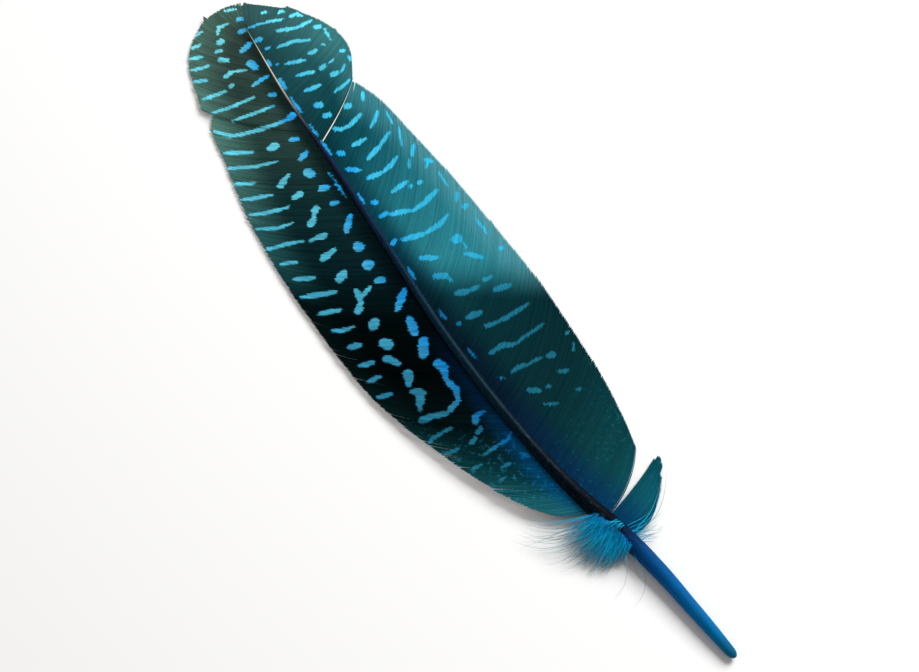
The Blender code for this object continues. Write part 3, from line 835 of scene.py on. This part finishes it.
RIGHT_STRETCHES = ((RIGHT_VANE, BEND, flat), (RIGHT_LOBE, BEND, lobe_lift))
LOCK_STRETCHES = ((RIGHT_LOCK, LOCK_BEND, flat),)
# The teal body and paler edge are partly the vane's own colour and partly painted sheen and light shining
# through it
right_material = vane_material(
    "pale barbs",
    body=((0.36, 34, 116, 128), (0.50, 38, 118, 130), (0.60, 28, 104, 116), (0.70, 10, 70, 80),
          (0.77, 5, 58, 65), (0.86, 28, 76, 80), (1.0, 34, 64, 64)),
    inner=((0.45, 0, 44, 60), (0.56, 0, 46, 62), (0.64, 6, 58, 70), (0.75, 4, 48, 56),
           (0.86, 20, 64, 68), (1.0, 28, 54, 54)),
    rim=((0.34, 64, 132, 144), (0.50, 72, 140, 151), (0.70, 58, 128, 138),
         (0.77, 48, 112, 118), (0.86, 56, 114, 117), (0.92, 50, 90, 92), (1.0, 42, 68, 67)),
    marks=((0.25, 30, 132, 158), (0.42, 38, 150, 184), (0.50, 42, 160, 196),
           (0.62, 52, 174, 212), (0.80, 70, 184, 210), (1.0, 92, 192, 204)),
    inner_marks=((0.25, 14, 126, 178), (0.34, 14, 132, 190), (0.50, 22, 142, 208),
                 (0.60, 28, 150, 216), (0.80, 34, 156, 214), (1.0, 60, 168, 204)),
    inner_reach=(0.5, 9.0), rim_reach=(0.5, 13.0), contrast=0.22, speckled=(42.0, 62.0, 0.35),
    pale_ends_and_sheen=0.4,
    # The foot below a slanting line: darker colours and marks dimmed to 0.42, partly the vane's own darker
    # base and partly painted shade
    foot=(((0.17, 10, 90, 108), (0.22, 4, 60, 66), (0.32, 0, 38, 43), (0.44, 0, 40, 46),
           (0.56, 8, 60, 68)),
          ((0.18, 0, 56, 92), (0.26, 0, 38, 68), (0.37, 0, 20, 38), (0.48, 0, 20, 30),
           (0.58, 0, 34, 44)),
          0.42, 1.0, 96.0, 109.0),
)
sheet, spread = guide_sheet("right guide", -1, RIGHT_STRETCHES, RIGHT_SPLITS)
right_barbs = grown(sheet, BARB_TREE, "right_vane", Barbs=int(spread / BARB_PITCH), Steps=BARB_STEPS,
                    Seed=23, Fray=0.005, Clump=0.0015, Material=right_material)
paint_marks(right_barbs, -1, RIGHT_STRETCHES, RIGHT_MARKS, BARB_STEPS, seed=5)
right_vane = finished(right_barbs, "right_vane")

sheet, _ = guide_sheet("lock guide", -1, LOCK_STRETCHES)
lock_barbs = grown(sheet, BARB_TREE, "loose_lock", Barbs=26, Steps=BARB_STEPS, Seed=31,
                   Fray=0.12, Clump=0.05, Material=right_material)
paint_marks(lock_barbs, -1, LOCK_STRETCHES, (), BARB_STEPS, seed=7)
loose_lock = finished(lock_barbs, "loose_lock")

# At the foot the barbs have no hooks and stay loose as down. It took the brightest blue, and its outer
# ends are greyer. The dense short down stands round the foot of the left vane, with long single barbs
# curling past it.
DOWN_PITCH = 0.0002
DOWN_STEPS = 14

# Bunches of down: side, how many, length of the barbules, shortest and longest barb, bend, where across
# the shaft the roots stand, how long the barbs keep their height, and root station, tip X and tip Y
# along the bunch
DOWN_BUNCHES = (
    (1, 16, 0.7, (0.45, 0.9), 6, (-0.7, -0.1), 2.4,
     ((33.4, 32.6, 9.4), (34.2, 34.4, 11.0), (35.0, 36.6, 11.8))),
    (1, 110, 1.2, (0.4, 0.8), 12, (0.3, 0.98), 1.0,
     ((30.6, 29.6, 7.6), (32.6, 29.6, 11.4), (34.4, 31.4, 13.6), (36.2, 34.8, 14.2), (38.2, 39.6, 13.6))),
    (1, 140, 1.3, (0.72, 1.04), 14, (0.25, 0.98), 1.0,
     ((29.6, 28.7, 7.0), (31.2, 28.4, 10.2), (32.6, 29.2, 12.4), (34.0, 31.0, 13.8), (35.4, 33.4, 14.6),
      (36.8, 36.4, 14.8), (38.4, 40.6, 14.4))),
    (1, 28, 0.75, (0.7, 1.05), 26, (0.7, 0.98), 1.0,
     ((33.5, 33.6, 16.4), (35.2, 36.8, 19.0), (36.6, 41.6, 20.4), (38.0, 44.6, 20.6), (39.2, 46.4, 18.6))),
    (-1, 12, 0.7, (0.6, 1.0), 18, (0.6, 0.98), 1.0,
     ((28.8, 28.0, -2.6), (29.8, 29.2, -4.0), (30.8, 31.6, -6.0), (31.6, 34.6, -8.2))),
)
# Single barbs: how long their barbules are, then points on the ground
STRAY_BARBS = (
    (0.7, (36.3, 6.4), (37.4, 13.5), (39.4, 17.6), (42.1, 20.0), (45.1, 21.7)),
    (0.7, (35.2, 6.3), (35.3, 11.9), (35.1, 15.6), (35.8, 17.8), (37.6, 19.8)),
    (0.7, (39.2, 7.3), (40.8, 15.0), (42.9, 17.8), (45.8, 18.8)),
    (0.35, (31.0, 4.2), (29.0, 5.4), (26.4, 6.8), (24.0, 9.5), (23.3, 12.5)),
    (0.3, (30.6, 4.0), (27.6, 4.9), (24.4, 5.5), (23.1, 6.2)),
    (0.35, (30.2, 3.8), (26.6, 4.3), (22.9, 4.9), (20.5, 7.4), (19.5, 10.5)),
    (0.4, (32.8, 1.6), (32.3, -3.0), (33.2, -5.5), (35.1, -7.2), (34.2, -9.0)),
    (0.5, (32.0, 1.4), (30.2, -1.9), (29.8, -3.6), (30.3, -5.4)),
    (0.5, (31.2, 1.3), (29.5, -1.3), (29.3, -3.2), (29.9, -5.3)),
    (0.4, (33.4, 1.6), (33.2, -2.9), (33.9, -5.3), (35.8, -7.8)),
    (0.2, (26.4, 1.0), (25.4, 0.6), (25.1, -0.4)),
    (0.6, (31.6, 0.4), (32.2, -3.4), (34.3, -6.9), (37.6, -10.4), (40.6, -13.0)),
    (0.5, (31.2, 0.6), (31.6, -3.6), (33.6, -7.3), (36.8, -10.8), (39.6, -13.4)),
    (0.6, (32.0, 0.2), (33.0, -3.6), (35.4, -7.4), (38.6, -11.0), (41.4, -13.4)),
)


def threads_guide(threads, chance):
    """A mesh of threads for the tree, from the points and the barbules' length of each."""
    points, edges, shares, fluffs, chances = [], [], [], [], []
    for ground, fluff in threads:
        edges += [(len(points) + k, len(points) + k + 1) for k in range(len(ground) - 1)]
        points += ground.tolist()
        shares += np.linspace(0, 1, len(ground)).tolist()
        fluffs += [fluff * MM] * len(ground)
        chances += [chance.uniform()] * len(ground)
    mesh = bpy.data.meshes.new("threads")
    mesh.from_pydata(placed(points).tolist(), edges, [])
    for label, values in (("share", shares), ("fluff", fluffs), ("chance", chances)):
        mesh.attributes.new(label, "FLOAT", "POINT").data.foreach_set("value", values)
    return mesh


def down_guide():
    """Threads for the down's barbs, in bunches and single."""
    chance = np.random.default_rng(41)
    threads = []
    for side, count, fluff, lengths, bend, roots, keep, table in DOWN_BUNCHES:
        stations = np.linspace(table[0][0], table[-1][0], count) + chance.uniform(-0.25, 0.25, count)
        for station in stations:
            across = chance.uniform(*roots)
            root = np.array([station, smooth(BOW, station) + side * half_width(station) * across])
            bulge = half_width(station) * DEPTH_TO_WIDTH * (1 - across**2) ** 0.5
            top = shaft_height(station) + bulge - 0.12
            tip = np.array([smooth(table, station, 1), smooth(table, station, 2)])
            chord = (tip - root) * chance.uniform(*lengths)
            turn = radians(chance.normal(0, 7))
            chord = chord @ np.array([[np.cos(turn), np.sin(turn)], [-np.sin(turn), np.cos(turn)]])
            back = np.array([chord[1], -chord[0]]) * -side
            middle = root + chord / 2 + back * np.tan(radians(bend + chance.normal(0, 8))) / 2
            t = np.linspace(0, 1, DOWN_STEPS)[:, None]
            ground = root * (1 - t) ** 2 + middle * 2 * t * (1 - t) + (root + chord) * t**2
            t = t[:, 0]
            z = top * (1 - t**keep) ** 1.5 + chance.uniform(0.4, 2.0) * np.sin(pi * t**0.8) + 0.25
            threads.append((np.column_stack([ground, z]), fluff * chance.uniform(0.75, 1.15)))
    for fluff, *points in STRAY_BARBS:
        points = np.array(points)
        run = np.concatenate([[0], np.cumsum(np.linalg.norm(np.diff(points, axis=0), axis=1))])
        at = np.linspace(0, run[-1], DOWN_STEPS)
        ground = np.stack([smooth(list(zip(run, points[:, k])), at) for k in (0, 1)], -1)
        t = np.linspace(0, 1, DOWN_STEPS)
        z = shaft_height(points[0, 0]) * (1 - t) ** 1.5 + 0.25
        z += chance.uniform(0.6, 1.2) * np.sin(pi * t**0.8)
        threads.append((np.column_stack([ground, z]), fluff))
    return threads_guide(threads, chance)


def down_tree():
    """Grows tapering barbs along threads, and curved barbules in two rows along each barb."""
    tree, given, leave = new_group(
        "downy barbs", "GeometryNodeTree",
        (("Threads", "NodeSocketGeometry", None), ("Thickness", "NodeSocketFloat", 0.00005),
         ("Pitch", "NodeSocketFloat", DOWN_PITCH), ("Barbule", "NodeSocketFloat", 0.03),
         ("Seed", "NodeSocketInt", 1), ("Material", "NodeSocketMaterial", None)),
        (("Down", "NodeSocketGeometry"),),
    )

    def chance(low, high, step):
        return node(tree, "FunctionNodeRandomValue", low, high, node(tree, "GeometryNodeInputIndex"),
                    given["Seed"] + step, data_type="FLOAT")

    threads = node(tree, "GeometryNodeMeshToCurve", given["Threads"])
    round_section = node(tree, "GeometryNodeCurvePrimitiveCircle", 4, 1.0)
    share, fluff = named(tree, "share"), named(tree, "fluff")
    taper = given["Thickness"] * (1.05 - share ** 1.5)
    barbs = node(tree, "GeometryNodeCurveToMesh", threads, round_section, taper, True)
    barbs = stored(barbs, "out", share)

    barbule = node(tree, "GeometryNodeMeshCone", 3, 2, 1, 0.0, given["Barbule"], 1.0)
    height = parts_of(node(tree, "GeometryNodeInputPosition"))[2]
    barbule = stored(barbule, "tip", height)
    curl = vector(tree, height ** 2.0 * 0.28, 0.0)
    barbule = node(tree, "GeometryNodeSetPosition", barbule, None, None, curl)

    rows = node(tree, "GeometryNodeResampleCurve", threads, None, given["Pitch"], mode="LENGTH")
    run = node(tree, "GeometryNodeInputTangent")
    side = math("NORMALIZE", math("CROSS_PRODUCT", run, (0.0, 0.0, 1.0)))
    turn = math("FLOORED_MODULO", node(tree, "GeometryNodeInputIndex"), 2.0) * 2.0 - 1.0
    lean = scaled(math("MULTIPLY", side, vector(tree, turn, turn)), chance(0.45, 1.0, 1))
    aim = run + lean + vector(tree, 0.0, 0.0, chance(-0.35, 0.55, 2))
    rotation = node(tree, "FunctionNodeAlignRotationToVector", None, None, aim, axis="Z")
    size = fluff * chance(0.5, 1.0, 3) * (1.0 - share * 0.75)
    barbules = node(tree, "GeometryNodeInstanceOnPoints", rows, None, barbule, None, None, rotation, size)
    barbules = node(tree, "GeometryNodeRealizeInstances", barbules)
    barbules = stored(barbules, "out", share + named(tree, "tip") * 0.25)

    down = tree.nodes.new("GeometryNodeJoinGeometry")
    for part in (barbs, barbules):
        feed(down.inputs, (part,))
    greyer = between(fluff, 0.0009, 0.00075) * 0.4
    place = vector(tree, named(tree, "out") + greyer, named(tree, "chance"))
    down = stored(Flow(down.outputs[0]), "down", place, "FLOAT2", "CORNER")
    return ended(down, ("share", "fluff", "chance", "out", "tip"), True, given, leave)


def down_material():
    """Vivid blue at the roots and greyer teal at the ends, each barb a little different."""
    material, tree = new_material("dyed down")
    out, chance, _ = parts_of(node(tree, "ShaderNodeUVMap", uv_map="down"))
    colour = ramp(out, (0.0, 0, 122, 196), (0.25, 0, 180, 230), (0.6, 14, 190, 232),
                  (0.85, 40, 148, 176), (1.0, 66, 124, 138))
    tone = placed_group(tree, BARB_TONE, Colour=colour, Along=out * 10.0, Chance=chance, Contrast=0.7,
                        Grain=0.1)
    return painted(material, tone["Colour"], 0.6, 0.1)


DOWN_TREE = down_tree()
down = finished(grown(down_guide(), DOWN_TREE, "down", Seed=17, Material=down_material()), "down")

# Where the right vane split near its tip, the barb on the lobe's edge has lost its barbules and shows
# as a pale hair from the shaft to the rim. It is plain horn that the dye coloured only at the root.
BARE_STATION = 140.0
BARE_SHARES = 0.03, 0.98
BARE_LIFT = 0.36
BARE_ASIDE = -0.16


def bare_guide():
    """A thread along the edge of the split."""
    shares = np.linspace(*BARE_SHARES, DOWN_STEPS)
    line = barb_lines(-1, RIGHT_LOBE, BEND, np.array([BARE_STATION]), shares, lobe_lift)[0]
    return threads_guide([(line + (BARE_ASIDE, 0, BARE_LIFT), 0.0)], np.random.default_rng(5))


def bare_material():
    """Horn without barbules: teal at the root, and cream from there to the end."""
    material, tree = new_material("bare horn")
    out = parts_of(node(tree, "ShaderNodeUVMap", uv_map="down"))[0]
    colour = ramp(out, (0.0, 20, 90, 110), (0.18, 150, 170, 164), (0.5, 232, 226, 208),
                  (1.0, 206, 204, 186))
    return painted(material, colour, 0.4, 0.2)


bare = grown(bare_guide(), DOWN_TREE, "bare_barbs", Thickness=0.00015, Pitch=0.002, Seed=19,
             Material=bare_material())
bare_barbs = finished(bare, "bare_barbs")

# The floor, the light and the camera are no part of the feather: a pale sheet, soft daylight from the
# right vane's side, and the view of the photograph.
FLOOR_SIZE = 3.0
FLOOR_DROP = 0.0002
CAMERA_PLACE = (-0.16456, 0.11062, 0.4084)
CAMERA_TARGET = (-0.00461, -0.00134, 0.0)
LENS = 85.0
SENSOR_WIDTH = 36.0
KEY_PLACE = (0.10, -0.62, 0.62)
KEY_SIZE = 0.5
KEY_POWER = 9.6
SKY_STRENGTH = 0.34
SKY_TINT = (1.0, 0.94, 0.89, 1.0)
KEY_TINT = (0.97, 0.99, 1.0)

bpy.ops.mesh.primitive_plane_add(size=FLOOR_SIZE, location=(0, 0, -FLOOR_DROP))
floor = bpy.context.object
floor.name = "floor"
floor.data.materials.append(painted(new_material("pale paper")[0], (0.95, 0.95, 0.95, 1.0), 0.9, 0.1))

key_data = bpy.data.lights.new("key", "AREA")
key_data.energy = KEY_POWER
key_data.size = KEY_SIZE
key_data.color = KEY_TINT
key = bpy.data.objects.new("key", key_data)
key.location = KEY_PLACE
key.rotation_euler = (Vector((0, 0, 0)) - key.location).to_track_quat("-Z", "Y").to_euler()
bpy.context.scene.collection.objects.link(key)

world = bpy.data.worlds.new("sky")
world.use_nodes = True
feed(world.node_tree.nodes["Background"].inputs, (SKY_TINT, SKY_STRENGTH))
bpy.context.scene.world = world
bpy.context.scene.view_settings.view_transform = "Standard"

camera_data = bpy.data.cameras.new("camera")
camera_data.lens = LENS
camera_data.sensor_width = SENSOR_WIDTH
camera_data.clip_start = 0.01
camera = bpy.data.objects.new("camera", camera_data)
camera.location = CAMERA_PLACE
camera.rotation_euler = (Vector(CAMERA_TARGET) - camera.location).to_track_quat("-Z", "Y").to_euler()
bpy.context.scene.collection.objects.link(camera)
bpy.context.scene.camera = camera
